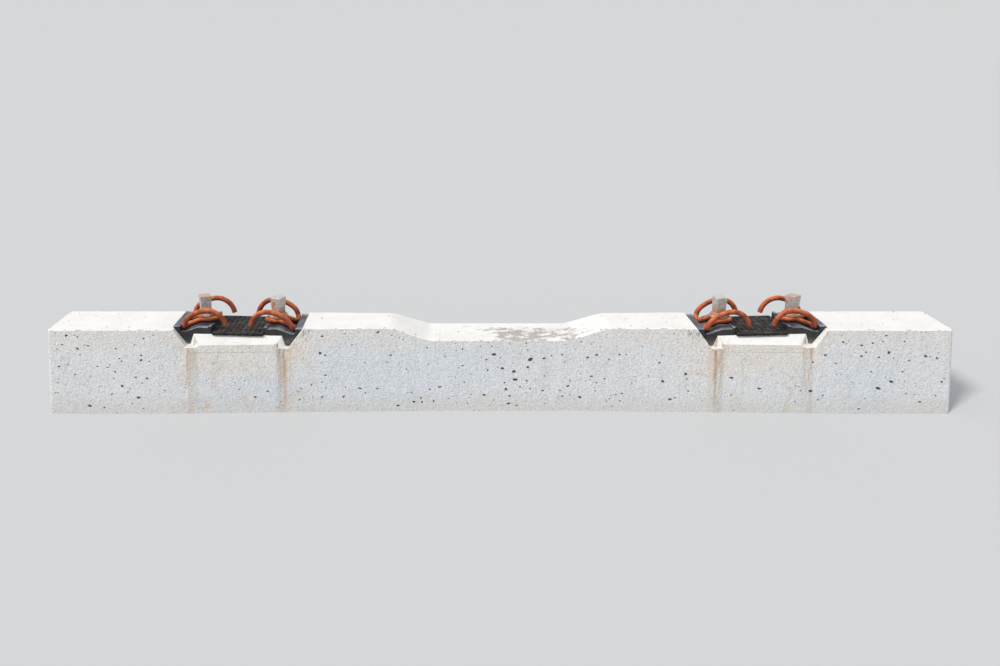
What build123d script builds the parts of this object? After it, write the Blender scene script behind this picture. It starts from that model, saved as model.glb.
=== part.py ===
"""Prestressed concrete railway sleeper with its rail fastenings, in millimetres.

+X runs along the sleeper, across the track. +Y runs along the track. The underside lies on Z = 0.
Each rail seat leans 1:40 towards the middle. In a seat's own frame x runs to the inner guide plate,
y along the track, and z stands square to the seat, with its zero on the bearing surface.
"""

from build123d import *
from math import atan, cos, degrees, radians, sin, tan
import os

os.makedirs("parts", exist_ok=True)

# Sleeper body
sleeper_length = 2600
end_base_width = 300
waist_base_width = 260
side_batter = 15
plateau_height = 234
seat_height = 214
waist_height = 199
waist_half_length = 204
waist_slope_length = 108
waist_corner_radius = 90
taper_margin = 40
end_corner_radius = 11
long_edge_radius = 4
shoulder_edge_radius = 4

# Track
seat_spacing = 1514
seat_lean = 1 / 40
rail_foot_width = 150
rail_foot_at_toe = 15
screw_offset = 107

# Rail seat and grooves
seat_edge_margin = 1
groove_depth = 31.5
groove_floor = 9
seat_slope_angle = 69
shoulder_slope_angle = 54
groove_radius = 3
seat_flat_width = 142
side_panel_drop = 45
side_panel_top = 12
side_panel_margin = 17
side_panel_proud = 1

# Blind holes in the end faces
end_hole_diameter = 27
end_hole_depth = 22
end_hole_pitch = 85
end_hole_heights = (62, 169)

# Screw dowel
dowel_diameter = 32
dowel_length = 132
dowel_collar_diameter = 38
dowel_collar_height = 4
dowel_rib_diameter = 36
dowel_floor = 12
dowel_rib_pitch = 34
dowel_rib_height = 8
dowel_rib_count = 3

# Rail pad
pad_thickness = 7
pad_length = 160
pad_corner_radius = 6
pad_groove_width = 5
pad_groove_depth = 1.5
pad_groove_pitch = 14
pad_groove_count = 10

# Angled guide plate
plate_width = 142
plate_thickness = 18.5
plate_hole_diameter = 27
plate_edge_gap = 0.5
plate_stop_height = 4
plate_stop_length = 9
plate_stop_width = 26
plate_ridge_height = 20.5
plate_corner_radius = 5
plate_rib_height_gap = 2
plate_pocket_depth = 12
plate_pocket_length = 34
plate_pocket_width = 18
plate_pocket_wall = 3.5
plate_ramp_gap = 0.8
fit_gap = 0.2

# Tension clamp
wire_diameter = 15
clamp_bend_reach = 51
clamp_bend_height = 12
clamp_bend_inner = 30
clamp_bend_outer = 60
clamp_bend_radius = 16
clamp_arm_offset = 62
clamp_arm_back = 42
clamp_arm_back_height = 40
clamp_arm_back_radius = 40
clamp_arm_middle = 8
clamp_arm_middle_height = 65
clamp_arm_middle_radius = 90
clamp_arm_front = 56
clamp_arm_front_height = 72
clamp_arm_front_radius = 50
clamp_toe_reach = 71
clamp_toe_offset = 60
clamp_toe_angle = 70
clamp_leg_offset = 21
clamp_leg_back = 8
clamp_leg_front = 33
clamp_leg_height = 27.5
clamp_leg_radius = 40
clamp_loop_straight = 0.2

# Washer and screw
washer_diameter = 56
washer_thickness = 7
washer_bore = 26
washer_chamfer = 1
collar_diameter = 44
collar_thickness = 8
collar_slope_run = 2
collar_slope_drop = 3
screw_diameter = 24
screw_length = 150
screw_tip_length = 12
head_top_width = 33
head_base_width = 28.5
head_height = 45
head_corner_radius = 2
head_edge_chamfer = 1.5
head_turns = (24, 61, 12, 38)

# Values that follow from the sizes above
half_length = sleeper_length / 2
waist_slope_end = waist_half_length + waist_slope_length
seat_x = seat_spacing / 2
lean_angle = degrees(atan(seat_lean))
seat_half_length = screw_offset + dowel_collar_diameter / 2 + seat_edge_margin
seat_slope_run = groove_depth / tan(radians(seat_slope_angle))
groove_start = seat_half_length + seat_slope_run
groove_end = groove_start + groove_floor
shoulder_rise = 1 / tan(radians(shoulder_slope_angle))
pocket_top = 60
shoulder_reach = groove_end + (pocket_top + groove_depth) * shoulder_rise
shoulder_x = seat_x + groove_end + (plateau_height - seat_height + groove_depth) * shoulder_rise
taper_start = shoulder_x + taper_margin
wide_cut = end_base_width
quarter_width = end_base_width / 4
near = 1
wire_radius = wire_diameter / 2
washer_bottom = clamp_leg_height + wire_radius + fit_gap
washer_top = washer_bottom + washer_thickness
head_bottom = washer_top + collar_thickness


def seat_frame(side, turn=1):
    """Frame of the rail seat at -1 left or 1 right; turn -1 faces it to the outer guide plate."""
    inward = -side * turn
    lean = radians(lean_angle)
    x_dir = (inward * cos(lean), 0, -turn * sin(lean))
    z_dir = (-side * sin(lean), 0, cos(lean))
    return Plane(origin=(side * seat_x, 0, seat_height), x_dir=x_dir, z_dir=z_dir)


seats = {"left": seat_frame(-1), "right": seat_frame(1)}
fastenings = [seat_frame(-1, -1), seat_frame(-1), seat_frame(1), seat_frame(1, -1)]


# Body with battered sides, waisted in plan, and left too long for its ends to be cut square
with BuildPart() as prism:
    with BuildSketch(Plane.XY) as plan:
        with BuildLine():
            Polyline(
                (0, 0),
                (half_length + wide_cut, 0),
                (half_length + wide_cut, end_base_width / 2),
                (taper_start, end_base_width / 2),
                (waist_half_length, waist_base_width / 2),
                (0, waist_base_width / 2),
                close=True,
            )
        make_face()
        mirror(about=Plane.XZ)
        mirror(about=Plane.YZ)
    extrude(amount=plateau_height, taper=side_batter)

# Block that bevels the long edges of one rail seat, cut away above the groove floors
with BuildPart() as seat_bevel:
    with BuildSketch(Plane.XZ.offset(-seat_flat_width / 2)):
        with Locations((0, -groove_depth)):
            Rectangle(
                2 * groove_start + groove_floor,
                groove_depth + pocket_top,
                align=(Align.CENTER, Align.MIN),
            )
    extrude(amount=-quarter_width)
    with BuildSketch(Plane.XZ.offset(-seat_flat_width / 2)):
        foot_half = seat_half_length + seat_height * seat_slope_run / groove_depth
        with BuildLine():
            Polyline(
                (-seat_half_length, 0),
                (seat_half_length, 0),
                (foot_half, -seat_height),
                (-foot_half, -seat_height),
                close=True,
            )
        make_face()
    extrude(amount=-quarter_width, taper=45, mode=Mode.SUBTRACT)

# Profile of one rail seat with its two grooves, open at the top
with BuildPart() as seat_pocket:
    with BuildSketch(Plane.XZ) as pocket_profile:
        with BuildLine():
            Polyline(
                (-shoulder_reach, pocket_top),
                (-groove_end, -groove_depth),
                (-groove_start, -groove_depth),
                (-seat_half_length, 0),
                (seat_half_length, 0),
                (groove_start, -groove_depth),
                (groove_end, -groove_depth),
                (shoulder_reach, pocket_top),
                close=True,
            )
        make_face()
        fillet(pocket_profile.vertices().group_by(Axis.Z)[0], groove_radius)
    extrude(amount=wide_cut, both=True)


def side_face_plane(side_x, side_y):
    """Plane of a battered side face beside a rail seat, x along the sleeper and y up the face."""
    taper = (end_base_width - waist_base_width) / 2 / (taper_start - waist_half_length)
    slope = tan(radians(side_batter)) / cos(atan(taper))
    half_base = end_base_width / 2 - (taper_start - seat_x) * taper
    origin = Vector(side_x * seat_x, side_y * (half_base - seat_height * slope), seat_height)
    along = Vector(-side_y, -side_x * taper, 0)
    up = Vector(0, -side_y * slope, 1)
    return Plane(origin=origin, x_dir=along, z_dir=along.cross(up))


# Outer shape of a screw dowel, with its collar at the bearing surface
with BuildPart() as dowel_shape:
    with BuildSketch(Plane.XZ):
        with BuildLine():
            Polyline(
                (0, 0),
                (dowel_collar_diameter / 2, 0),
                (dowel_collar_diameter / 2, -dowel_collar_height),
                (dowel_diameter / 2, -dowel_collar_height - dowel_rib_height),
                (dowel_diameter / 2, -dowel_length),
                (0, -dowel_length),
                close=True,
            )
        make_face()
        rib_start = dowel_collar_height + dowel_rib_pitch
        for rib in range(dowel_rib_count):
            top = -rib_start - rib * dowel_rib_pitch
            with BuildLine():
                Polyline(
                    (0, top),
                    (dowel_diameter / 2, top),
                    (dowel_rib_diameter / 2, top - dowel_rib_height / 2),
                    (dowel_diameter / 2, top - dowel_rib_height),
                    (0, top - dowel_rib_height),
                    close=True,
                )
            make_face()
    revolve(axis=Axis.Z)

with BuildPart() as sleeper_body:
    add(prism.part)
    panel_half = seat_half_length - side_panel_margin
    panel_run = (side_panel_drop - side_panel_top) * seat_slope_run / groove_depth
    for side_x in (-1, 1):
        for side_y in (-1, 1):
            with BuildSketch(side_face_plane(side_x, side_y)):
                with BuildLine():
                    Polyline(
                        (-panel_half, -side_panel_top),
                        (panel_half, -side_panel_top),
                        (panel_half + panel_run, -side_panel_drop),
                        (-panel_half - panel_run, -side_panel_drop),
                        close=True,
                    )
                make_face()
            extrude(amount=side_panel_proud, both=True)
    with BuildSketch(Plane.XZ) as long_profile:
        with BuildLine():
            Polyline(
                (-half_length, 0),
                (half_length, 0),
                (half_length, plateau_height),
                (waist_slope_end, plateau_height),
                (waist_half_length, waist_height),
                (-waist_half_length, waist_height),
                (-waist_slope_end, plateau_height),
                (-half_length, plateau_height),
                close=True,
            )
        make_face()
        waist_corners = long_profile.vertices().filter_by(lambda v: abs(v.X) < half_length - near)
        fillet(waist_corners, waist_corner_radius)
    extrude(amount=wide_cut, both=True, mode=Mode.INTERSECT)
    end_corners = (
        sleeper_body.edges()
        .filter_by(GeomType.LINE)
        .filter_by(lambda e: abs(abs(e.center().X) - half_length) < near)
        .filter_by(lambda e: abs(e.center().Y) > quarter_width)
    )
    fillet(end_corners, end_corner_radius)
    upper_edges = sleeper_body.edges().filter_by(lambda e: e.center().Z > waist_height - near)
    long_edges = (
        upper_edges
        .filter_by(Axis.Y, reverse=True)
        .filter_by(lambda e: e.center().Z > plateau_height - near or abs(e.center().X) < waist_slope_end)
    )
    end_edges = upper_edges.filter_by(Axis.Y).filter_by(lambda e: abs(e.center().X) > shoulder_x)
    fillet(long_edges + end_edges, long_edge_radius)
    for seat in seats.values():
        with Locations(seat):
            add(seat_pocket.part, mode=Mode.SUBTRACT)
            add(seat_bevel.part, mode=Mode.SUBTRACT)
            add(seat_bevel.part.mirror(Plane.XZ), mode=Mode.SUBTRACT)
    shoulder_edges = (
        sleeper_body.edges()
        .filter_by(Axis.Y)
        .filter_by(lambda e: e.center().Z > plateau_height - near)
        .filter_by(lambda e: abs(abs(e.center().X) - seat_x) < shoulder_x - seat_x + near)
    )
    fillet(shoulder_edges, shoulder_edge_radius)
    for fastening in fastenings:
        with Locations(fastening):
            with Locations((screw_offset, 0, 0)):
                add(dowel_shape.part, mode=Mode.SUBTRACT)
    for side in (-1, 1):
        with BuildSketch(Plane.YZ.offset(side * half_length)):
            for height in end_hole_heights:
                with Locations((-end_hole_pitch / 2, height), (end_hole_pitch / 2, height)):
                    Circle(end_hole_diameter / 2)
        extrude(amount=-side * end_hole_depth, mode=Mode.SUBTRACT)

pad_width = rail_foot_width - 2
with BuildPart() as rail_pad:
    with BuildSketch(Plane.XY):
        RectangleRounded(pad_width, pad_length, pad_corner_radius)
    extrude(amount=pad_thickness)
    with BuildSketch(Plane.XY.offset(pad_thickness), Plane.XY):
        with GridLocations(pad_groove_pitch, 1, pad_groove_count, 1):
            Rectangle(pad_groove_width, pad_length - 2 * pad_groove_pitch)
    extrude(amount=pad_groove_depth, both=True, mode=Mode.SUBTRACT)

# Guide plate in the seat's frame: it spans from the rail foot to the far wall of the groove
with BuildPart() as guide_plate:
    front = rail_foot_width / 2 + plate_edge_gap
    rib_depth = groove_depth - plate_rib_height_gap
    rib_front = seat_half_length + fit_gap / sin(radians(seat_slope_angle))
    rib_back = groove_end - fit_gap / sin(radians(shoulder_slope_angle))
    trough_x = screw_offset + clamp_bend_reach
    trough_radius = wire_radius + fit_gap
    leg_rise = clamp_leg_height - clamp_bend_height
    leg_angle = degrees(atan(leg_rise / (clamp_bend_reach - clamp_leg_back)))
    with BuildSketch(Plane.XZ) as plate_profile:
        with BuildLine():
            Polyline(
                (front, 0),
                (rib_front, 0),
                (rib_front + rib_depth * seat_slope_run / groove_depth, -rib_depth),
                (rib_back + plate_rib_height_gap * shoulder_rise, -rib_depth),
                (rib_back + (groove_depth + plate_ridge_height) * shoulder_rise, plate_ridge_height),
                (trough_x, plate_ridge_height),
                (trough_x, plate_thickness),
                (front, plate_thickness),
                close=True,
            )
        make_face()
        with Locations((trough_x, clamp_bend_height)):
            Circle(trough_radius, mode=Mode.SUBTRACT)
            Rectangle(
                2 * trough_radius,
                pocket_top,
                align=(Align.CENTER, Align.MIN),
                mode=Mode.SUBTRACT,
            )
            Rectangle(
                screw_offset,
                2 * (wire_radius + plate_ramp_gap),
                rotation=-leg_angle,
                align=(Align.MAX, Align.CENTER),
                mode=Mode.SUBTRACT,
            )
    extrude(amount=plate_width / 2, both=True)
    for side in (-1, 1):
        with BuildSketch(Plane.XY.offset(plate_thickness)):
            with Locations((front, side * (plate_width - plate_stop_width) / 2)):
                Rectangle(plate_stop_length, plate_stop_width, align=(Align.MIN, Align.CENTER))
        extrude(amount=plate_stop_height)
    upright = guide_plate.edges().filter_by(Axis.Z).group_by(Axis.X)[0]
    fillet(upright, plate_corner_radius)
    with BuildSketch(Plane.XY):
        pocket_pitch = plate_pocket_width + plate_pocket_wall
        first_pocket = plate_hole_diameter / 2 + plate_pocket_wall + plate_pocket_width / 2
        for side in (-1, 1):
            for column in range(2):
                pocket_y = side * (first_pocket + column * pocket_pitch)
                with Locations((front + plate_pocket_wall, pocket_y)):
                    Rectangle(
                        plate_pocket_length,
                        plate_pocket_width,
                        align=(Align.MIN, Align.CENTER),
                    )
    extrude(amount=plate_pocket_depth, mode=Mode.SUBTRACT)
    with BuildSketch(Plane.XY.offset(-groove_depth)):
        with Locations((screw_offset, 0)):
            Circle(plate_hole_diameter / 2)
    extrude(amount=2 * pocket_top, mode=Mode.SUBTRACT)

# Dowel with its blind bore for the screw
with BuildPart() as dowel:
    add(dowel_shape.part)
    with BuildSketch(Plane.XY):
        Circle(screw_diameter / 2 + fit_gap)
    extrude(amount=-(dowel_length - dowel_floor), mode=Mode.SUBTRACT)


def clamp_corners(side):
    """Corners of one half of the bent wire, from its toe on the rail foot to its middle loop."""
    toe_height = pad_thickness + rail_foot_at_toe + wire_radius * cos(radians(clamp_toe_angle))
    return [
        (screw_offset - clamp_toe_reach, side * clamp_toe_offset, toe_height),
        (screw_offset - clamp_arm_front, side * clamp_arm_offset, clamp_arm_front_height),
        (screw_offset + clamp_arm_middle, side * clamp_arm_offset, clamp_arm_middle_height),
        (screw_offset + clamp_arm_back, side * clamp_arm_offset, clamp_arm_back_height),
        (screw_offset + clamp_bend_reach, side * clamp_bend_outer, clamp_bend_height),
        (screw_offset + clamp_bend_reach, side * clamp_bend_inner, clamp_bend_height),
        (screw_offset + clamp_leg_back, side * clamp_leg_offset, clamp_leg_height),
        (screw_offset - clamp_leg_front, side * clamp_leg_offset, clamp_leg_height),
    ]


# Omega-shaped clamp, one bent steel wire
half_radii = [
    clamp_arm_front_radius,
    clamp_arm_middle_radius,
    clamp_arm_back_radius,
    clamp_bend_radius,
    clamp_bend_radius,
    clamp_leg_radius,
    clamp_leg_offset - clamp_loop_straight / 2,
]
with BuildPart() as tension_clamp:
    with BuildLine() as wire:
        FilletPolyline(
            *clamp_corners(1),
            *reversed(clamp_corners(-1)),
            radius=[*half_radii, *reversed(half_radii)],
        )
    with BuildSketch(Plane(origin=wire.line @ 0, z_dir=wire.line % 0)):
        Circle(wire_radius)
    sweep()

with BuildPart() as washer:
    with BuildSketch(Plane.XY.offset(washer_bottom)):
        Circle(washer_diameter / 2)
        Circle(washer_bore / 2, mode=Mode.SUBTRACT)
    extrude(amount=washer_thickness)
    rims = washer.edges().filter_by(GeomType.CIRCLE)
    chamfer(rims.filter_by(lambda e: e.radius > (washer_bore + washer_diameter) / 4), washer_chamfer)

with BuildPart() as screw_form:
    with BuildSketch(Plane.XZ):
        shank = screw_diameter / 2
        with BuildLine():
            Polyline(
                (0, head_bottom),
                (collar_diameter / 2 - collar_slope_run, head_bottom),
                (collar_diameter / 2, head_bottom - collar_slope_drop),
                (collar_diameter / 2, washer_top),
                (shank, washer_top),
                (shank, washer_top - screw_length + screw_tip_length),
                (shank / 2, washer_top - screw_length),
                (0, washer_top - screw_length),
                close=True,
            )
        make_face()
    revolve(axis=Axis.Z)
    with BuildSketch(Plane.XY.offset(head_bottom)):
        RectangleRounded(head_base_width, head_base_width, head_corner_radius)
    with BuildSketch(Plane.XY.offset(head_bottom + head_height)):
        RectangleRounded(head_top_width, head_top_width, head_corner_radius)
    loft(ruled=True)
    chamfer(screw_form.faces().sort_by(Axis.Z)[-1].edges(), head_edge_chamfer)


def export_node(shape, name):
    """Writes one finished piece to its own file."""
    shape.label = name
    export_step(shape, f"parts/{name}.step")


export_node(sleeper_body.part, "sleeper_body")

for side, seat in seats.items():
    with BuildPart(seat) as placed_pad:
        add(rail_pad.part)
    export_node(placed_pad.part, f"rail_pad_{side}")

for number, fastening in enumerate(fastenings, start=1):
    with BuildPart(fastening) as placed_plate:
        add(guide_plate.part)
    export_node(placed_plate.part, f"guide_plate_{number}")
    with BuildPart(fastening) as placed_clamp:
        add(tension_clamp.part)
    export_node(placed_clamp.part, f"tension_clamp_{number}")
    screw_axis = fastening.shift_origin(fastening.from_local_coords((screw_offset, 0, 0)))
    with BuildPart(screw_axis) as placed_dowel:
        add(dowel.part)
    export_node(placed_dowel.part, f"dowel_{number}")
    with BuildPart(screw_axis) as placed_washer:
        add(washer.part)
    export_node(placed_washer.part, f"washer_{number}")
    with BuildPart(screw_axis) as placed_screw:
        add(screw_form.part, rotation=(0, 0, head_turns[number - 1]))
    export_node(placed_screw.part, f"sleeper_screw_{number}")
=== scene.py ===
"""Concrete railway sleeper with its spring-clamp fastenings, dressed for display.

Metres, in the part's own frame: +X along the sleeper, +Y across it, +Z up from the underside.
"""

import math
import random

import bpy
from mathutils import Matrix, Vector


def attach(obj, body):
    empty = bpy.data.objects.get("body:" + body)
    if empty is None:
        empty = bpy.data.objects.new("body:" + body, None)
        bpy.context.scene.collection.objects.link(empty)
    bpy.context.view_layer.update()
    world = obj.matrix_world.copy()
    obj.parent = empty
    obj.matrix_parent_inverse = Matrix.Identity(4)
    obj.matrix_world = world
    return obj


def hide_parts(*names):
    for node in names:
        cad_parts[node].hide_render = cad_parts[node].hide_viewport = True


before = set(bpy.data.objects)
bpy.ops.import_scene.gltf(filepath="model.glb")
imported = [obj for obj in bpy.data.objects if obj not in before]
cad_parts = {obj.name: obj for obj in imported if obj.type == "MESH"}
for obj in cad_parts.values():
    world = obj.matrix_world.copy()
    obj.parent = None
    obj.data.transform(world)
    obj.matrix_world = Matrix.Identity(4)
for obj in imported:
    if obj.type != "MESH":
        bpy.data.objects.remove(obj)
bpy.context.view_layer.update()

# Sizes shared by the shapes and the finishes, in metres
PLATEAU_HEIGHT = 0.234
WAIST_HEIGHT = 0.199
SEAT_HEIGHT = 0.214
HEAD_BASE = SEAT_HEIGHT + 0.0502
HEAD_TOP = SEAT_HEIGHT + 0.0952
SLOPE_RUN = 0.108
SEAT_X = 0.757
INNER_GROOVE_X = SEAT_X - 0.141
OUTER_GROOVE_X = SEAT_X + 0.141

# The long edges and sides are worn as far out as WORN_X, the end edges at END_EDGE_X
WORN_X = 1.28
END_EDGE_X = 1.2985

# Z of the surface normal on the slopes of the dip
SLOPE_NORMAL_Z = math.cos(math.atan2(PLATEAU_HEIGHT - WAIST_HEIGHT, SLOPE_RUN))

SLICES, AIR_HOLES, EDGE_CHIPS, TOP_PITS = ((128, 480, 100, 60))

# Radius from which an air hole is cut more raggedly
LARGE_HOLE = 0.0028


# Modelling helpers


def unselect_all():
    """Leaves object mode with nothing selected."""
    if bpy.context.object and bpy.context.object.mode != "OBJECT":
        bpy.ops.object.mode_set(mode="OBJECT")
    bpy.ops.object.select_all(action="DESELECT")


def take_up(piece):
    """Makes one piece the selected, active one."""
    unselect_all()
    piece.select_set(True)
    bpy.context.view_layer.objects.active = piece


def open_up(piece):
    """Goes into edit mode on one piece, with all of it selected."""
    take_up(piece)
    bpy.ops.object.mode_set(mode="EDIT")
    bpy.ops.mesh.select_all(action="SELECT")


def apply_modifier(piece, kind, **settings):
    """Adds a modifier with its settings and applies it."""
    take_up(piece)
    modifier = piece.modifiers.new(kind.title(), kind)
    for name, value in settings.items():
        setattr(modifier, name, value)
    bpy.ops.object.modifier_apply(modifier=modifier.name)


def copy_of(node, name):
    """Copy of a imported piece's mesh, its corners merged, for further work."""
    piece = bpy.data.objects.new(name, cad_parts[node].data.copy())
    bpy.context.scene.collection.objects.link(piece)
    open_up(piece)
    bpy.ops.mesh.remove_doubles(threshold=0.00002)
    bpy.ops.object.mode_set(mode="OBJECT")
    return piece


def dress(piece, material):
    """Gives a piece one material all over."""
    piece.data.materials.clear()
    piece.data.materials.append(material)


# Materials


def rgb(red, green, blue):
    """Linear colour from the 0 to 255 values seen on a screen."""

    def linear(value):
        value /= 255
        return value / 12.92 if value <= 0.04045 else ((value + 0.055) / 1.055) ** 2.4

    return (linear(red), linear(green), linear(blue), 1.0)


class Finish:
    """A material being made. Its patterns are placed in metres on the piece."""

    def __init__(self, name):
        self.material = bpy.data.materials.new(name)
        self.material.use_nodes = True
        self.tree = self.material.node_tree
        self.shader = self.tree.nodes["Principled BSDF"]
        self.place = self.add("ShaderNodeTexCoord").outputs["Object"]

    def add(self, kind, **settings):
        """Adds a node with its properties."""
        made = self.tree.nodes.new(kind)
        for name, value in settings.items():
            setattr(made, name, value)
        return made

    def join(self, value, socket):
        """Sets a socket, or links another node's output to it."""
        if isinstance(value, bpy.types.NodeSocket):
            self.tree.links.new(value, socket)
        else:
            socket.default_value = value

    def parts(self, vector):
        """The x, y and z of a vector, or the red, green and blue of a colour."""
        made = self.add("ShaderNodeSeparateXYZ")
        self.join(vector, made.inputs[0])
        return made.outputs

    def upward(self):
        """How far the surface faces up: 1 on top, 0 on an upright face, -1 underneath."""
        return self.parts(self.add("ShaderNodeNewGeometry").outputs["Normal"])[2]

    def stretched(self, scale, turn=(0, 0, 0)):
        """Pattern coordinates that are stretched and turned."""
        mapping = self.add("ShaderNodeMapping")
        self.join(self.place, mapping.inputs["Vector"])
        mapping.inputs["Scale"].default_value = scale
        mapping.inputs["Rotation"].default_value = turn
        return mapping.outputs["Vector"]

    def noise(self, scale, detail=4.0, roughness=0.55, place=None, output="Fac"):
        """Cloudy pattern, about 0.3 to 0.7."""
        made = self.add("ShaderNodeTexNoise")
        self.join(place or self.place, made.inputs["Vector"])
        made.inputs["Scale"].default_value = scale
        made.inputs["Detail"].default_value = detail
        made.inputs["Roughness"].default_value = roughness
        return made.outputs[output]

    def wobble(self, scale, amount, place=None):
        """Coordinates pushed about, so that a pattern's edges turn ragged."""
        push = self.noise(scale, 2.0, 0.5, place, "Color")
        centred = self.add("ShaderNodeVectorMath", operation="SUBTRACT")
        self.join(push, centred.inputs[0])
        centred.inputs[1].default_value = (0.5, 0.5, 0.5)
        scaled = self.add("ShaderNodeVectorMath", operation="SCALE")
        self.join(centred.outputs[0], scaled.inputs[0])
        scaled.inputs["Scale"].default_value = amount
        moved = self.add("ShaderNodeVectorMath", operation="ADD")
        self.join(place or self.place, moved.inputs[0])
        self.join(scaled.outputs[0], moved.inputs[1])
        return moved.outputs[0]

    def maths(self, operation, first, second=0.0):
        """One step of arithmetic."""
        made = self.add("ShaderNodeMath", operation=operation)
        self.join(first, made.inputs[0])
        self.join(second, made.inputs[1])
        return made.outputs[0]

    def ramp(self, value, low, high, start=0.0, end=1.0):
        """Smooth step from start to end as a value goes from low to high."""
        made = self.add("ShaderNodeMapRange", interpolation_type="SMOOTHSTEP")
        self.join(value, made.inputs["Value"])
        self.join(low, made.inputs["From Min"])
        self.join(high, made.inputs["From Max"])
        made.inputs["To Min"].default_value = start
        made.inputs["To Max"].default_value = end
        return made.outputs["Result"]

    def all_of(self, *masks):
        """Masks and shares multiplied together."""
        result = masks[0]
        for mask in masks[1:]:
            result = self.maths("MULTIPLY", result, mask)
        return result

    def between(self, value, low, high, soft):
        """One between low and high, fading to nothing over the soft distance outside them."""
        return self.all_of(self.ramp(value, low - soft, low), self.ramp(value, high + soft, high))

    def distance(self, value, centre):
        """How far a value is from a centre, on either side of it."""
        return self.maths("ABSOLUTE", self.maths("SUBTRACT", value, centre))

    def swayed(self, value, pattern, amount):
        """A value that a pattern pushes to and fro."""
        push = self.maths("MULTIPLY", self.maths("SUBTRACT", pattern, 0.5), amount)
        return self.maths("ADD", value, push)

    def pores(self, scale, share, largest, place):
        """Round air holes of mixed size in a share of the cells, the largest given as a radius."""
        cells = self.add("ShaderNodeTexVoronoi")
        self.join(place, cells.inputs["Vector"])
        cells.inputs["Scale"].default_value = scale
        chance = self.parts(cells.outputs["Color"])[0]
        radius = self.ramp(chance, 1.0 - share, 1.0, 0.0, largest * scale)
        inside = self.maths("SUBTRACT", radius, cells.outputs["Distance"])
        return self.ramp(inside, 0.0, 0.12 * largest * scale)

    def mix(self, share, first, second):
        """Colour between two others."""
        made = self.add("ShaderNodeMix", data_type="RGBA")
        self.join(share, made.inputs[0])
        self.join(first, made.inputs[6])
        self.join(second, made.inputs[7])
        return made.outputs[2]

    def tint(self, colour, shade, *masks):
        """Colour that turns to a shade as far as all the masks and shares allow."""
        return self.mix(self.all_of(*masks), colour, shade)

    def relief(self, height, depth, strength=1.0, under=None):
        """Surface normal raised by a height pattern, depth in metres."""
        made = self.add("ShaderNodeBump")
        made.inputs["Strength"].default_value = strength
        made.inputs["Distance"].default_value = depth
        self.join(height, made.inputs["Height"])
        if under:
            self.join(under, made.inputs["Normal"])
        return made.outputs[0]

    def settle(self, colour, roughness, normal=None, **sockets):
        """Joins the finished patterns to the shader and gives the material."""
        self.join(colour, self.shader.inputs["Base Color"])
        self.join(roughness, self.shader.inputs["Roughness"])
        if normal:
            self.join(normal, self.shader.inputs["Normal"])
        for name, value in sockets.items():
            self.shader.inputs[name.replace("_", " ")].default_value = value
        return self.material


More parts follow.
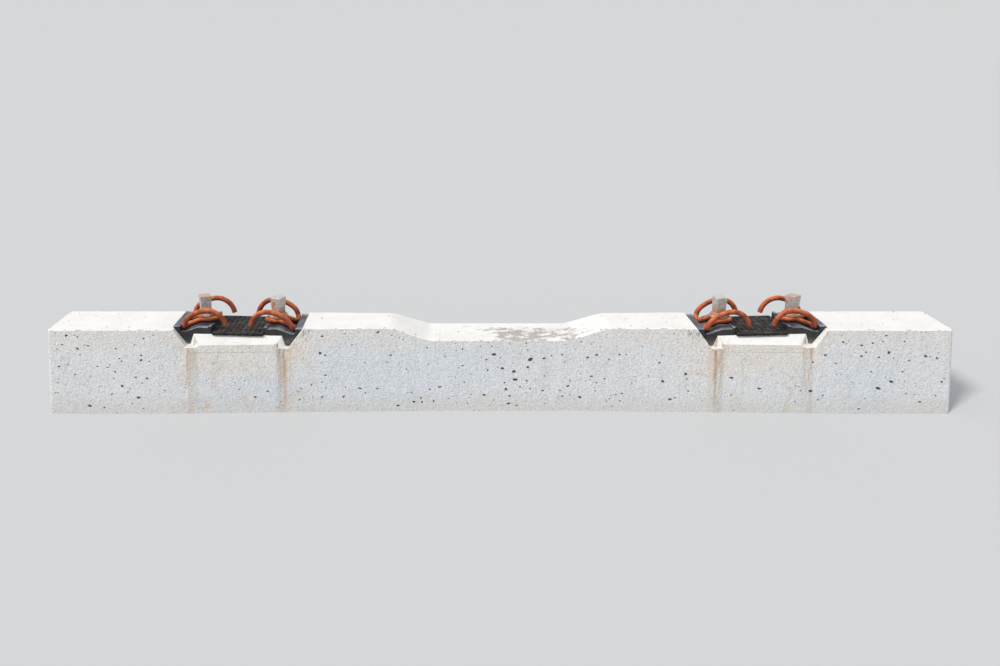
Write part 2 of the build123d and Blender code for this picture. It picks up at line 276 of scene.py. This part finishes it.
class ConcreteFinish(Finish):
    """Precast concrete: near-white trowelled top, cool pored sides, marks below the grooves."""

    def __init__(self):
        super().__init__("weathered_concrete")
        self.along, self.across, self.height = self.parts(self.place)
        self.half_along = self.maths("ABSOLUTE", self.along)
        above_end_holes = self.ramp(self.height, 0.168, 0.176)
        self.topside = self.all_of(self.ramp(self.upward(), 0.42, 0.62), above_end_holes)
        self.side_only = self.maths("SUBTRACT", 1.0, self.topside)
        self.clouds = self.noise(13.0, 5.0, 0.6)
        self.mottle = self.noise(75.0, 4.0, 0.6)
        self.grit = self.noise(230.0, 5.0, 0.75)
        self.drags = self.noise(1.0, 4.0, 0.6, self.stretched((7.0, 150.0, 1.0), (0, 0, 0.05)))
        self.smears = self.noise(1.0, 6.0, 0.72, self.stretched((26.0, 40.0, 1.0)))
        self.paste = self.dragged_paste()
        self.paste_grain = self.ramp(self.grit, 0.36, 0.62)
        self.holes = self.small_air_holes()
        self.knocks = self.corner_knocks()

    def dragged_paste(self):
        """Mask of the grey paste dragged over the top of the dip."""
        patch = self.all_of(
            self.between(self.along, 0.0, 0.2, 0.1),
            self.between(self.across, -0.085, 0.015, 0.045),
            self.topside,
        )
        thick = self.maths("ADD", self.smears, self.maths("MULTIPLY", patch, 0.14))
        return self.all_of(self.ramp(thick, 0.6, 0.68), self.ramp(patch, 0.0, 0.3))

    def stray_dabs(self):
        """Mask of the stray dabs of paste beside the patch."""
        return self.all_of(
            self.ramp(self.smears, 0.6, 0.65, 0.0, 0.6),
            self.between(self.along, -0.17, 0.3, 0.06),
            self.between(self.across, -0.1, 0.05, 0.03),
            self.topside,
        )

    def small_air_holes(self):
        """Mask of the small air holes, ragged and a little flat, crowded under the top edge."""
        ragged = self.wobble(190.0, 0.004, self.stretched((0.8, 1.0, 1.3)))
        crowd = self.maths("MAXIMUM", self.ramp(self.noise(8.0, 3.0, 0.6), 0.36, 0.6), 0.45)
        near_top = self.ramp(self.height, 0.16, 0.225, 0.55, 1.0)
        formed = self.maths("MAXIMUM", self.all_of(self.side_only, crowd, near_top), 0.05)
        coarse = self.ramp(self.all_of(self.pores(85.0, 0.24, 0.0025, ragged), formed), 0.2, 0.5)
        fine = self.ramp(self.all_of(self.pores(190.0, 0.3, 0.0014, ragged), formed), 0.25, 0.55)
        return self.maths("MAXIMUM", coarse, self.maths("MULTIPLY", fine, 0.7))

    def corner_knocks(self):
        """Mask of the knocks at the upper corners of the shoulders."""
        chatter = self.noise(1.0, 4.0, 0.7, self.stretched((330, 60, 60), (0, 0.12, 0)))
        return self.all_of(
            self.ramp(chatter, 0.55, 0.61),
            self.between(self.half_along, 0.552, 0.582, 0.016),
            self.ramp(self.height, 0.2, 0.216),
            self.side_only,
        )

    def side_tone(self):
        """Sides: cool low down, warmer under the top edge and beside the seats."""
        colour = self.mix(
            self.ramp(self.noise(2.3, 3.0), 0.4, 0.6), rgb(214, 219, 224), rgb(220, 221, 222)
        )
        colour = self.tint(colour, rgb(206, 213, 220), self.ramp(self.clouds, 0.45, 0.7, 0.0, 0.5))
        upper = self.ramp(self.swayed(self.height, self.clouds, 0.16), 0.135, 0.215)
        colour = self.tint(colour, rgb(222, 218, 214), upper, 0.8)
        at_shoulder = self.ramp(self.swayed(self.half_along, self.clouds, 0.16), 0.46, 0.6)
        beside_seat = self.ramp(self.half_along, 0.96, 0.9)
        above_foot = self.ramp(self.height, 0.06, 0.17)
        return self.tint(colour, rgb(226, 218, 208), at_shoulder, beside_seat, above_foot, 0.7)

    def top_tone(self):
        """Skin of the top, with drags of the trowel."""
        colour = self.mix(
            self.ramp(self.clouds, 0.38, 0.66), rgb(247, 245, 242), rgb(241, 239, 235)
        )
        return self.tint(colour, rgb(232, 229, 224), self.ramp(self.drags, 0.55, 0.75, 0.0, 0.5))

    def grained(self, colour):
        """Adds the dark and light grain of the cement skin, and its mottling."""
        share = self.ramp(self.side_only, 0.0, 1.0, 0.2, 0.75)
        colour = self.tint(colour, rgb(162, 167, 172), self.ramp(self.grit, 0.5, 0.68), share)
        colour = self.tint(colour, rgb(243, 244, 245), self.ramp(self.grit, 0.47, 0.34), share)
        mottled = self.ramp(self.mottle, 0.52, 0.72)
        return self.tint(colour, rgb(186, 192, 198), mottled, self.side_only, 0.28)

    def streaked(self, colour):
        """Adds runs of dirt and lime down the sides, and dust thrown up along the foot."""
        runs = self.noise(1.0, 4.0, 0.62, self.stretched((42, 42, 2.4)))
        dirt, lime = self.ramp(runs, 0.56, 0.7), self.ramp(runs, 0.44, 0.3)
        colour = self.tint(colour, rgb(186, 185, 180), dirt, self.side_only, 0.25)
        colour = self.tint(colour, rgb(236, 238, 238), lime, self.side_only, 0.3)
        foot = self.maths("ADD", self.height, self.maths("MULTIPLY", self.clouds, 0.07))
        return self.tint(colour, rgb(200, 195, 186), self.ramp(foot, 0.105, 0.035, 0.0, 0.45))

    def water_marked(self, colour):
        """Adds the marks below the grooves: rust brown beside an olive grey, in broken runs."""
        ragged_along = self.swayed(self.half_along, self.noise(11.0, 3.0), 0.02)
        washed = self.noise(1.0, 4.0, 0.7, self.stretched((190, 60, 5)))
        broken = self.ramp(washed, 0.36, 0.56, 0.2, 1.0)
        fading = self.ramp(self.height, 0.0, 0.2, 0.35, 1.0)
        for centre, half_width, shade, strength in (
            (INNER_GROOVE_X + 0.006, 0.009, rgb(166, 112, 62), 0.85),
            (INNER_GROOVE_X + 0.02, 0.013, rgb(150, 140, 108), 0.62),
            (INNER_GROOVE_X - 0.006, 0.016, rgb(204, 178, 142), 0.5),
            (OUTER_GROOVE_X - 0.004, 0.01, rgb(172, 124, 78), 0.6),
            (OUTER_GROOVE_X - 0.02, 0.014, rgb(160, 150, 124), 0.4),
        ):
            away = self.distance(ragged_along, centre)
            band = self.ramp(away, half_width, half_width * 0.3)
            colour = self.tint(colour, shade, band, fading, broken, self.side_only, strength)
        return colour

    def rust_touched(self, colour):
        """Adds a faint bloom and fine specks of rust around the fastenings."""
        around_seat = self.ramp(self.distance(self.half_along, SEAT_X), 0.26, 0.15)
        bloom = self.ramp(self.noise(21.0, 4.0, 0.65), 0.5, 0.68, 0.0, 0.3)
        colour = self.tint(colour, rgb(206, 176, 140), around_seat, bloom)
        specks = self.pores(210.0, 0.09, 0.0013, self.wobble(300.0, 0.002))
        return self.tint(colour, rgb(158, 98, 58), specks, around_seat, self.side_only)

    def marked(self, colour):
        """Adds the paste, the small air holes painted dark as painted shade inside them, the knocks
        and hairline scratches on the top.
        """
        paste_tone = self.mix(self.paste_grain, rgb(216, 208, 203), rgb(178, 169, 164))
        pasted = self.maths("MAXIMUM", self.maths("MULTIPLY", self.paste, 0.88), self.stray_dabs())
        colour = self.tint(colour, paste_tone, pasted)
        # Painted shade: the small air holes painted dark grey
        colour = self.tint(colour, rgb(92, 93, 96), self.holes, 0.85)
        colour = self.tint(colour, rgb(104, 100, 95), self.knocks, 0.6)
        hair = self.noise(1.0, 2.0, 0.5, self.stretched((9.0, 420.0, 9.0), (0, 0, -0.3)))
        return self.tint(
            colour, rgb(140, 134, 126), self.ramp(hair, 0.72, 0.74), self.topside, 0.5
        )

    def surface(self):
        """Surface normal, from the broad unevenness down to the small holes."""
        surface = self.relief(self.noise(34.0, 4.0, 0.6), 0.0014)
        rough_side = self.ramp(self.side_only, 0.0, 1.0, 0.15, 1.0)
        peel = self.all_of(self.noise(150.0, 4.0, 0.65), rough_side)
        surface = self.relief(peel, 0.0045, 0.85, surface)
        surface = self.relief(self.grit, 0.0006, 0.5, surface)
        surface = self.relief(self.all_of(self.drags, self.topside), 0.0006, 0.5, surface)
        surface = self.relief(self.all_of(self.paste, self.paste_grain), 0.002, 0.6, surface)
        sunk = self.maths("SUBTRACT", 1.0, self.maths("MAXIMUM", self.holes, self.knocks))
        return self.relief(sunk, 0.002, 1.0, surface)

    def finished(self):
        """The material with all its layers."""
        colour = self.mix(self.topside, self.side_tone(), self.top_tone())
        for layer in (
            self.grained,
            self.streaked,
            self.water_marked,
            self.rust_touched,
            self.marked,
        ):
            colour = layer(colour)
        roughness = self.ramp(self.mottle, 0.3, 0.7, 0.84, 0.96)
        return self.settle(colour, roughness, self.surface(), Specular_IOR_Level=0.3)


def broken_concrete_finish(name, dark, light):
    """Inside of an air hole or a chipped edge: coarse paste with grains of sand."""
    finish = Finish(name)
    sand = finish.noise(420.0, 4.0, 0.7)
    colour = finish.mix(finish.ramp(sand, 0.35, 0.65), dark, light)
    surface = finish.relief(sand, 0.0009, 0.9)
    return finish.settle(colour, 0.95, surface, Specular_IOR_Level=0.2)


def rusty_steel_finish():
    """Bare spring steel gone over to orange rust, darker where it is thick, painted light on top
    and painted shade below.
    """
    finish = Finish("rusted_spring_steel")
    up = finish.upward()
    blotches = finish.noise(48.0, 5.0, 0.62)
    flecks = finish.noise(380.0, 4.0, 0.7)
    colour = finish.mix(finish.ramp(blotches, 0.4, 0.62), rgb(196, 92, 44), rgb(136, 58, 33))
    colour = finish.tint(colour, rgb(218, 122, 60), finish.ramp(flecks, 0.52, 0.7, 0.0, 0.6))
    colour = finish.tint(colour, rgb(92, 44, 30), finish.ramp(flecks, 0.42, 0.28, 0.0, 0.6))
    painted_highlight_spots = finish.ramp(blotches, 0.68, 0.42, 0.25, 0.7)
    # Painted highlight: lighter orange on the upward faces, in patches
    colour = finish.tint(colour, rgb(226, 140, 92), finish.ramp(up, 0.3, 0.95), painted_highlight_spots)
    # Painted shade: darker on the sides and underneath, darkest on the underside
    colour = finish.tint(colour, rgb(104, 46, 28), finish.ramp(up, 0.5, -0.3, 0.0, 0.62))
    colour = finish.tint(colour, rgb(58, 30, 24), finish.ramp(up, -0.1, -0.8, 0.0, 0.75))
    scale_marks = finish.ramp(finish.noise(140.0, 4.0, 0.7), 0.58, 0.66, 0.0, 0.7)
    colour = finish.tint(colour, rgb(96, 44, 30), scale_marks)
    pits = finish.pores(420.0, 0.22, 0.0008, finish.wobble(400.0, 0.001))
    colour = finish.tint(colour, rgb(66, 34, 26), pits, 0.6)
    surface = finish.relief(blotches, 0.0005, 0.6)
    surface = finish.relief(flecks, 0.0003, 0.7, surface)
    roughness = finish.ramp(blotches, 0.35, 0.65, 0.55, 0.85)
    return finish.settle(colour, roughness, surface, Specular_IOR_Level=0.5)


def galvanised_finish(name, rust_share, head=False):
    """Dull zinc, whitened in flecks where it weathers, painted lighter on top and painted shade
    underneath, with rust breaking through and low on a head.
    """
    finish = Finish(name)
    up = finish.upward()
    spangle = finish.noise(110.0, 4.0, 0.65)
    fine = finish.noise(600.0, 3.0, 0.7)
    colour = finish.mix(finish.ramp(spangle, 0.38, 0.62), rgb(206, 202, 196), rgb(172, 168, 162))
    colour = finish.tint(colour, rgb(226, 223, 217), finish.ramp(fine, 0.5, 0.75, 0.0, 0.5))
    # Painted highlight: lighter on the upward faces
    colour = finish.tint(colour, rgb(232, 228, 221), finish.ramp(up, 0.6, 0.95, 0.0, 0.6))
    rusty = finish.noise(46.0, 5.0, 0.68)
    amount = finish.ramp(rusty, 0.62 - rust_share * 0.3, 0.7 - rust_share * 0.3)
    if head:
        height = finish.parts(finish.place)[2]
        ragged_height = finish.maths("ADD", height, finish.maths("MULTIPLY", rusty, 0.018))
        low = finish.ramp(ragged_height, HEAD_BASE + 0.026, HEAD_BASE + 0.01, 0.0, 0.9)
        rim = finish.ramp(ragged_height, HEAD_TOP + 0.0055, HEAD_TOP + 0.009, 0.0, 0.6)
        amount = finish.maths("MAXIMUM", amount, finish.maths("MAXIMUM", low, rim))
    rust = finish.mix(finish.ramp(fine, 0.4, 0.65), rgb(164, 88, 46), rgb(204, 134, 80))
    colour = finish.tint(colour, rust, amount, 0.85)
    # Painted shade: darker on the downward faces
    colour = finish.tint(colour, rgb(84, 58, 44), finish.ramp(up, 0.1, -0.7, 0.0, 0.5))
    surface = finish.relief(rusty, 0.0005, 0.7)
    surface = finish.relief(fine, 0.0003, 0.7, surface)
    finish.join(finish.ramp(amount, 0.0, 0.6, 0.3, 0.0), finish.shader.inputs["Metallic"])
    roughness = finish.ramp(amount, 0.0, 1.0, 0.5, 0.85)
    return finish.settle(colour, roughness, surface, Specular_IOR_Level=0.5)


def moulded_plastic_finish():
    """Black glass-filled nylon, pale blue-grey on top from dust and a painted sky reflection, with
    clay in the trough and rust patches on its upper faces.
    """
    finish = Finish("moulded_nylon")
    up = finish.upward()
    _, across, height = finish.parts(finish.place)
    dusty = finish.noise(31.0, 5.0, 0.65)
    grain = finish.noise(700.0, 3.0, 0.7)
    colour = finish.mix(finish.ramp(dusty, 0.4, 0.65), rgb(34, 35, 38), rgb(52, 53, 56))
    off_centre = finish.ramp(finish.maths("ABSOLUTE", across), 0.045, 0.075, 0.35, 1.0)
    dust_and_sheen_patches = finish.ramp(dusty, 0.38, 0.58, 0.35, 0.95)
    level = finish.ramp(up, 0.45, 0.95)
    # Dust and a painted reflection of the sky: pale blue-grey on the upward faces away from the
    # middle
    colour = finish.tint(colour, rgb(168, 176, 189), level, dust_and_sheen_patches, off_centre)
    trough = finish.ramp(height, SEAT_HEIGHT - 0.004, SEAT_HEIGHT - 0.03)
    clay = finish.ramp(dusty, 0.42, 0.6, 0.2, 0.75)
    colour = finish.tint(colour, rgb(128, 122, 112), trough, clay)
    rust_patches = finish.ramp(finish.noise(40.0, 4.0, 0.6), 0.53, 0.66)
    rust = finish.all_of(rust_patches, finish.ramp(up, 0.3, 0.9), 0.55)
    colour = finish.tint(colour, rgb(132, 76, 44), rust)
    surface = finish.relief(grain, 0.0002, 0.6)
    surface = finish.relief(dusty, 0.0006, 0.4, surface)
    roughness = finish.ramp(dusty, 0.35, 0.65, 0.5, 0.82)
    return finish.settle(colour, roughness, surface, Specular_IOR_Level=0.45)


def pad_rubber_finish():
    """Black rubber pad with a dull, dusty face."""
    finish = Finish("pad_rubber_black")
    dusty = finish.noise(60.0, 4.0, 0.6)
    grain = finish.noise(800.0, 2.0, 0.6)
    colour = finish.mix(finish.ramp(dusty, 0.4, 0.65), rgb(28, 28, 30), rgb(42, 42, 43))
    level = finish.ramp(finish.upward(), 0.6, 0.95)
    dust = finish.ramp(dusty, 0.45, 0.7, 0.08, 0.4)
    colour = finish.tint(colour, rgb(128, 120, 110), level, dust)
    surface = finish.relief(grain, 0.0002, 0.5)
    return finish.settle(colour, 0.82, surface, Specular_IOR_Level=0.3)


def dowel_finish():
    """Dark moulded plastic of the cast-in dowels."""
    finish = Finish("dowel_polyamide")
    flow = finish.noise(90.0, 3.0, 0.6)
    colour = finish.mix(finish.ramp(flow, 0.35, 0.65), rgb(52, 54, 58), rgb(70, 72, 76))
    return finish.settle(colour, 0.55, finish.relief(flow, 0.0002, 0.5), Specular_IOR_Level=0.4)


concrete = ConcreteFinish().finished()
# Air holes and top pits are painted dark grey as painted shade inside them; chips keep a light
# fresh-concrete tone
hole_painted_shade = broken_concrete_finish("air_hole_concrete_painted_shade", rgb(92, 92, 94), rgb(134, 134, 134))
chip_concrete = broken_concrete_finish("chipped_concrete", rgb(176, 174, 170), rgb(216, 213, 207))
rusty_steel = rusty_steel_finish()
washer_steel = galvanised_finish("rust_bitten_zinc", 0.62)
screw_steel = galvanised_finish("dull_zinc", 0.2, head=True)
nylon = moulded_plastic_finish()
pad_rubber = pad_rubber_finish()
dowel_plastic = dowel_finish()


# Concrete body with real air holes and chipped edges

# Lines that seek the body's surface start well beside it or above it
BESIDE_Y = 0.4
ABOVE_Z = 0.5

# Least Z of the normal on the nearly level top, and the concrete left between two hollows
LEVEL_ENOUGH = 0.75
HOLLOW_GAP = 0.004


def slice_up(body):
    """Divides the body by upright planes across it, for its edges to wander between them."""
    open_up(body)
    for step in range(SLICES + 1):
        x = WORN_X * (2 * step / SLICES - 1)
        bpy.ops.mesh.select_all(action="SELECT")
        bpy.ops.mesh.bisect(plane_co=(x, 0, 0), plane_no=(1, 0, 0))
    bpy.ops.object.mode_set(mode="OBJECT")


def wander_edges(body):
    """Lets the rounded upper edges wander in and out a little, as worn formwork leaves them."""
    rounded = body.vertex_groups.new(name="rounded_edges")
    for point in body.data.vertices:
        if point.normal.z > 0.4 and abs(point.normal.y) > 0.25 and abs(point.co.x) < WORN_X:
            rounded.add([point.index], 1.0, "REPLACE")
    clouds = bpy.data.textures.new("edge_wander", "CLOUDS")
    clouds.noise_scale = 0.04
    clouds.noise_depth = 2
    apply_modifier(
        body,
        "DISPLACE",
        texture=clouds,
        texture_coords="LOCAL",
        vertex_group="rounded_edges",
        strength=0.003,
        mid_level=0.56,
    )


def met(body, start, heading):
    """Point and outward normal where a straight line first meets the body, or two Nones."""
    hit, place, normal, _ = body.ray_cast(Vector(start), Vector(heading))
    return (place, normal) if hit else (None, None)


def top_point(body, x, y):
    """Point and normal on the upper surface at x and y."""
    return met(body, (x, y, ABOVE_Z), (0, 0, -1))


def upper_edge_point(body, x, side):
    """Point and normal where the top begins, sought inward in steps of a millimetre."""
    for step in range(70):
        place, normal = top_point(body, x, side * (0.12 - step * 0.001))
        if place is not None and normal.z > LEVEL_ENOUGH:
            break
    return place, normal


def near_seat(x, reach):
    """True where x is within reach of the middle of either rail seat."""
    return abs(abs(x) - SEAT_X) < reach


def apart(spots, place, size):
    """True where a new hollow keeps clear of those already placed."""
    return all(
        (place - other).length > size + other_size + HOLLOW_GAP for other, other_size, _, _ in spots
    )


def drawn_size(dice, smallest, spread, largest):
    """Radius drawn at random: mostly near the smallest, now and then up to the largest."""
    return min(largest, smallest + abs(dice.gauss(0, spread)))


def air_hole_spots(body):
    """Place, size, squash and turn of the air holes on both long sides, some of them in pairs."""
    dice = random.Random(7)
    spots = []
    while len(spots) < AIR_HOLES:
        x = dice.uniform(-WORN_X, WORN_X)
        z = dice.uniform(0.012, 0.225)
        side = dice.choice((-1, 1))
        beside_pocket = z > 0.16
        if near_seat(x, 0.17) and (beside_pocket or dice.random() < 0.6):
            continue
        place, normal = met(body, (x, side * BESIDE_Y, z), (0, -side, 0))
        if place is None or abs(normal.z) > 0.6:
            continue
        under_edge = z > 0.17
        size = drawn_size(dice, 0.0013, 0.0009 if under_edge else 0.0017, 0.0056)
        if not apart(spots, place, size):
            continue
        squash = (dice.uniform(0.9, 1.8), 0.9, dice.uniform(0.6, 1.0))
        tilt = dice.uniform(-0.5, 0.5)
        spots.append((place - normal * size * 0.2, size, squash, (0, tilt, 0)))
        has_twin = size > 0.0026 and dice.random() < 0.3
        if has_twin:
            beside = Vector((dice.uniform(-1.5, 1.5), 0, dice.uniform(-0.9, 0.3))) * size
            twin = place + beside - normal * size * 0.1
            spots.append((twin, size * 0.75, (1.1, 0.8, 0.8), (0.4, tilt, 0.5)))
    return spots


def edge_chip_spots(body):
    """Place, size, squash and turn of the chips along the upper long edges and end edges."""
    dice = random.Random(11)
    spots = []
    while len(spots) < EDGE_CHIPS:
        side = dice.choice((-1, 1))
        on_end_edge = dice.random() < 0.12
        if on_end_edge:
            end = dice.choice((-1, 1))
            y = dice.uniform(-0.1, 0.1)
            place, normal = top_point(body, end * (END_EDGE_X - 0.003), y)
            squash = (1.0, dice.uniform(1.2, 2.6), 0.8)
            outward = Vector((end, 0, 1))
        else:
            x = dice.uniform(-WORN_X, WORN_X)
            if near_seat(x, 0.185):
                continue
            place, normal = upper_edge_point(body, x, side)
            squash = (dice.uniform(1.2, 3.6), 0.9, 0.8)
            outward = Vector((0, side, 1))
        if place is None or normal.z < LEVEL_ENOUGH:
            continue
        size = drawn_size(dice, 0.0014, 0.0018, 0.0065)
        if not apart(spots, place, size):
            continue
        turn = (0, 0, dice.uniform(-0.15, 0.15))
        spots.append((place + outward * size * 0.42, size, squash, turn))
    return spots


def top_pit_spots(body):
    """Place, size, squash and turn of the few pits in the trowelled top."""
    dice = random.Random(5)
    spots = []
    while len(spots) < TOP_PITS:
        x, y = dice.uniform(-1.27, 1.27), dice.uniform(-0.09, 0.09)
        if near_seat(x, 0.19):
            continue
        place, normal = top_point(body, x, y)
        size = drawn_size(dice, 0.0011, 0.0008, 0.0034)
        if place is None or normal.z < 0.9 or not apart(spots, place, size):
            continue
        squash = (dice.uniform(0.8, 1.8), dice.uniform(0.6, 1.1), 0.8)
        turn = (0, 0, dice.uniform(-1.5, 1.5))
        spots.append((place - normal * size * 0.1, size, squash, turn))
    return spots


def add_hollow(place, size, squash, turn):
    """Adds one round cutter, in edit mode to the mesh that is open there."""
    bpy.ops.mesh.primitive_ico_sphere_add(
        subdivisions=2, radius=size, location=place, scale=squash, rotation=turn
    )


def hollow_cutters(name, spots, ragged, finish):
    """Cutters for all the hollows of one kind, as one ragged mesh."""
    unselect_all()
    add_hollow(*spots[0])
    cutters = bpy.context.object
    cutters.name = name
    bpy.ops.object.transform_apply(location=True, rotation=True, scale=True)
    bpy.ops.object.mode_set(mode="EDIT")
    for spot in spots[1:]:
        add_hollow(*spot)
    bpy.ops.mesh.select_all(action="SELECT")
    bpy.ops.transform.vertex_random(offset=ragged, uniform=1.0, normal=0.0, seed=3)
    bpy.ops.object.mode_set(mode="OBJECT")
    dress(cutters, finish)
    return cutters


def joined(pieces):
    """Several pieces as one, each part keeping its material."""
    unselect_all()
    for piece in pieces:
        piece.select_set(True)
    bpy.context.view_layer.objects.active = pieces[0]
    bpy.ops.object.join()
    return bpy.context.object


def cut_away(body, cutters):
    """Takes the cutters out of the body; the cut faces keep the cutters' material."""
    apply_modifier(
        body,
        "BOOLEAN",
        operation="DIFFERENCE",
        solver="EXACT",
        use_self=True,
        object=cutters,
        material_mode="TRANSFER",
    )
    bpy.data.objects.remove(cutters)


def is_flat(normal):
    """True for a direction in which the body has a flat face and not a rounded edge."""
    long_side, end, underside = abs(normal.y) > 0.93, abs(normal.x) > 0.97, normal.z < -0.5
    level, dip_slope = normal.z > 0.9995, abs(normal.z - SLOPE_NORMAL_Z) < 0.003
    return long_side or end or underside or level or dip_slope


def concrete_body():
    """Makes the sleeper's body, its edges wandering and chipped and its air holes cut in."""
    body = copy_of("sleeper_body", "concrete_body")
    dress(body, concrete)
    slice_up(body)
    apply_modifier(body, "TRIANGULATE")
    holes = air_hole_spots(body)
    small = [spot for spot in holes if spot[1] < LARGE_HOLE]
    large = [spot for spot in holes if spot[1] >= LARGE_HOLE]
    kinds = (
        ("edge_chips", edge_chip_spots(body), 0.0006, chip_concrete),
        ("top_pits", top_pit_spots(body), 0.0002, hole_painted_shade),
        ("small_air_holes", small, 0.0003, hole_painted_shade),
        ("large_air_holes", large, 0.0008, hole_painted_shade),
    )
    cut_away(body, joined([hollow_cutters(*kind) for kind in kinds]))
    wander_edges(body)
    apply_modifier(body, "TRIANGULATE")
    take_up(body)
    bpy.ops.object.shade_smooth_by_angle(angle=math.radians(32))
    for face in body.data.polygons:
        face.use_smooth = face.material_index == 0 and not is_flat(face.normal)
    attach(body, "root")
    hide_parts("sleeper_body")


# Fastenings and pads


def rounded_copy(node, name, finish, edge, sharper_than):
    """Puts a copy in a piece's place, its edges sharper than an angle in degrees rounded."""
    piece = copy_of(node, name)
    dress(piece, finish)
    open_up(piece)
    bpy.ops.mesh.dissolve_limited(angle_limit=math.radians(0.2))
    bpy.ops.object.mode_set(mode="OBJECT")
    apply_modifier(
        piece,
        "BEVEL",
        width=edge,
        segments=2,
        limit_method="ANGLE",
        angle_limit=math.radians(sharper_than),
    )
    apply_modifier(piece, "TRIANGULATE")
    take_up(piece)
    bpy.ops.object.shade_smooth_by_angle(angle=math.radians(40))
    apply_modifier(piece, "WEIGHTED_NORMAL", keep_sharp=True)
    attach(piece, "root")
    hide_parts(node)


concrete_body()

for number in range(1, 5):
    clamp, plate = f"tension_clamp_{number}", f"guide_plate_{number}"
    rounded_copy(
        clamp, f"sprung_wire_{number}", rusty_steel, edge=0.0016, sharper_than=60
    )
    rounded_copy(
        plate, f"moulded_plate_{number}", nylon, edge=0.0011, sharper_than=28
    )
    dress(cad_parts[f"washer_{number}"], washer_steel)
    dress(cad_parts[f"sleeper_screw_{number}"], screw_steel)
    dress(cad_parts[f"dowel_{number}"], dowel_plastic)
for side in ("left", "right"):
    pad = f"rail_pad_{side}"
    rounded_copy(
        pad, f"ribbed_pad_{side}", pad_rubber, edge=0.0005, sharper_than=40
    )


# Floor, light and camera


def pale_floor():
    """Broad plain floor under the sleeper."""
    unselect_all()
    bpy.ops.mesh.primitive_plane_add(size=120, location=(0, 0, 0))
    floor = bpy.context.object
    floor.name = "floor"
    finish = Finish("pale_floor")
    dress(floor, finish.settle(rgb(206, 207, 208), 0.9, Specular_IOR_Level=0.1))


def soft_sun():
    """Wide soft sun from the left, above and a little in front."""
    light = bpy.data.lights.new("soft_sun", "SUN")
    light.energy = 2.1
    light.angle = math.radians(14)
    light.color = (1.0, 0.97, 0.93)
    sun = bpy.data.objects.new("soft_sun", light)
    sun.rotation_euler = Vector((-0.62, -0.42, 0.8)).to_track_quat("Z", "Y").to_euler()
    bpy.context.scene.collection.objects.link(sun)


def pale_sky():
    """Pale sky all round. The camera and reflections see it as plain as the floor."""
    sky = bpy.data.worlds.new("pale_sky")
    sky.use_nodes = True
    tree = sky.node_tree
    lighting = tree.nodes["Background"]
    lighting.inputs["Color"].default_value = (0.93, 0.96, 1.0, 1)
    lighting.inputs["Strength"].default_value = 0.64
    backdrop = tree.nodes.new("ShaderNodeBackground")
    backdrop.inputs["Color"].default_value = rgb(214, 215, 216)
    rays = tree.nodes.new("ShaderNodeLightPath")
    looked_at = rays.outputs["Is Camera Ray"]
    for kind in ("Is Glossy Ray", "Is Transmission Ray"):
        either = tree.nodes.new("ShaderNodeMath")
        either.operation = "MAXIMUM"
        tree.links.new(looked_at, either.inputs[0])
        tree.links.new(rays.outputs[kind], either.inputs[1])
        looked_at = either.outputs[0]
    mixed = tree.nodes.new("ShaderNodeMixShader")
    tree.links.new(looked_at, mixed.inputs[0])
    tree.links.new(lighting.outputs[0], mixed.inputs[1])
    tree.links.new(backdrop.outputs[0], mixed.inputs[2])
    tree.links.new(mixed.outputs[0], tree.nodes["World Output"].inputs["Surface"])
    bpy.context.scene.world = sky


def photo_camera():
    """Camera at the photograph's viewpoint, wide enough for the whole sleeper."""
    lens = bpy.data.cameras.new("viewpoint")
    lens.lens = 31.5
    lens.shift_x = 0.058
    camera = bpy.data.objects.new("viewpoint", lens)
    camera.location = (-0.167, -2.4526, 1.0625)
    degrees_down = 19.5
    camera.rotation_euler = (math.radians(90 - degrees_down), 0, 0)
    bpy.context.scene.collection.objects.link(camera)
    bpy.context.scene.camera = camera


pale_floor()
soft_sun()
pale_sky()
photo_camera()
bpy.context.scene.view_settings.view_transform = "Standard"
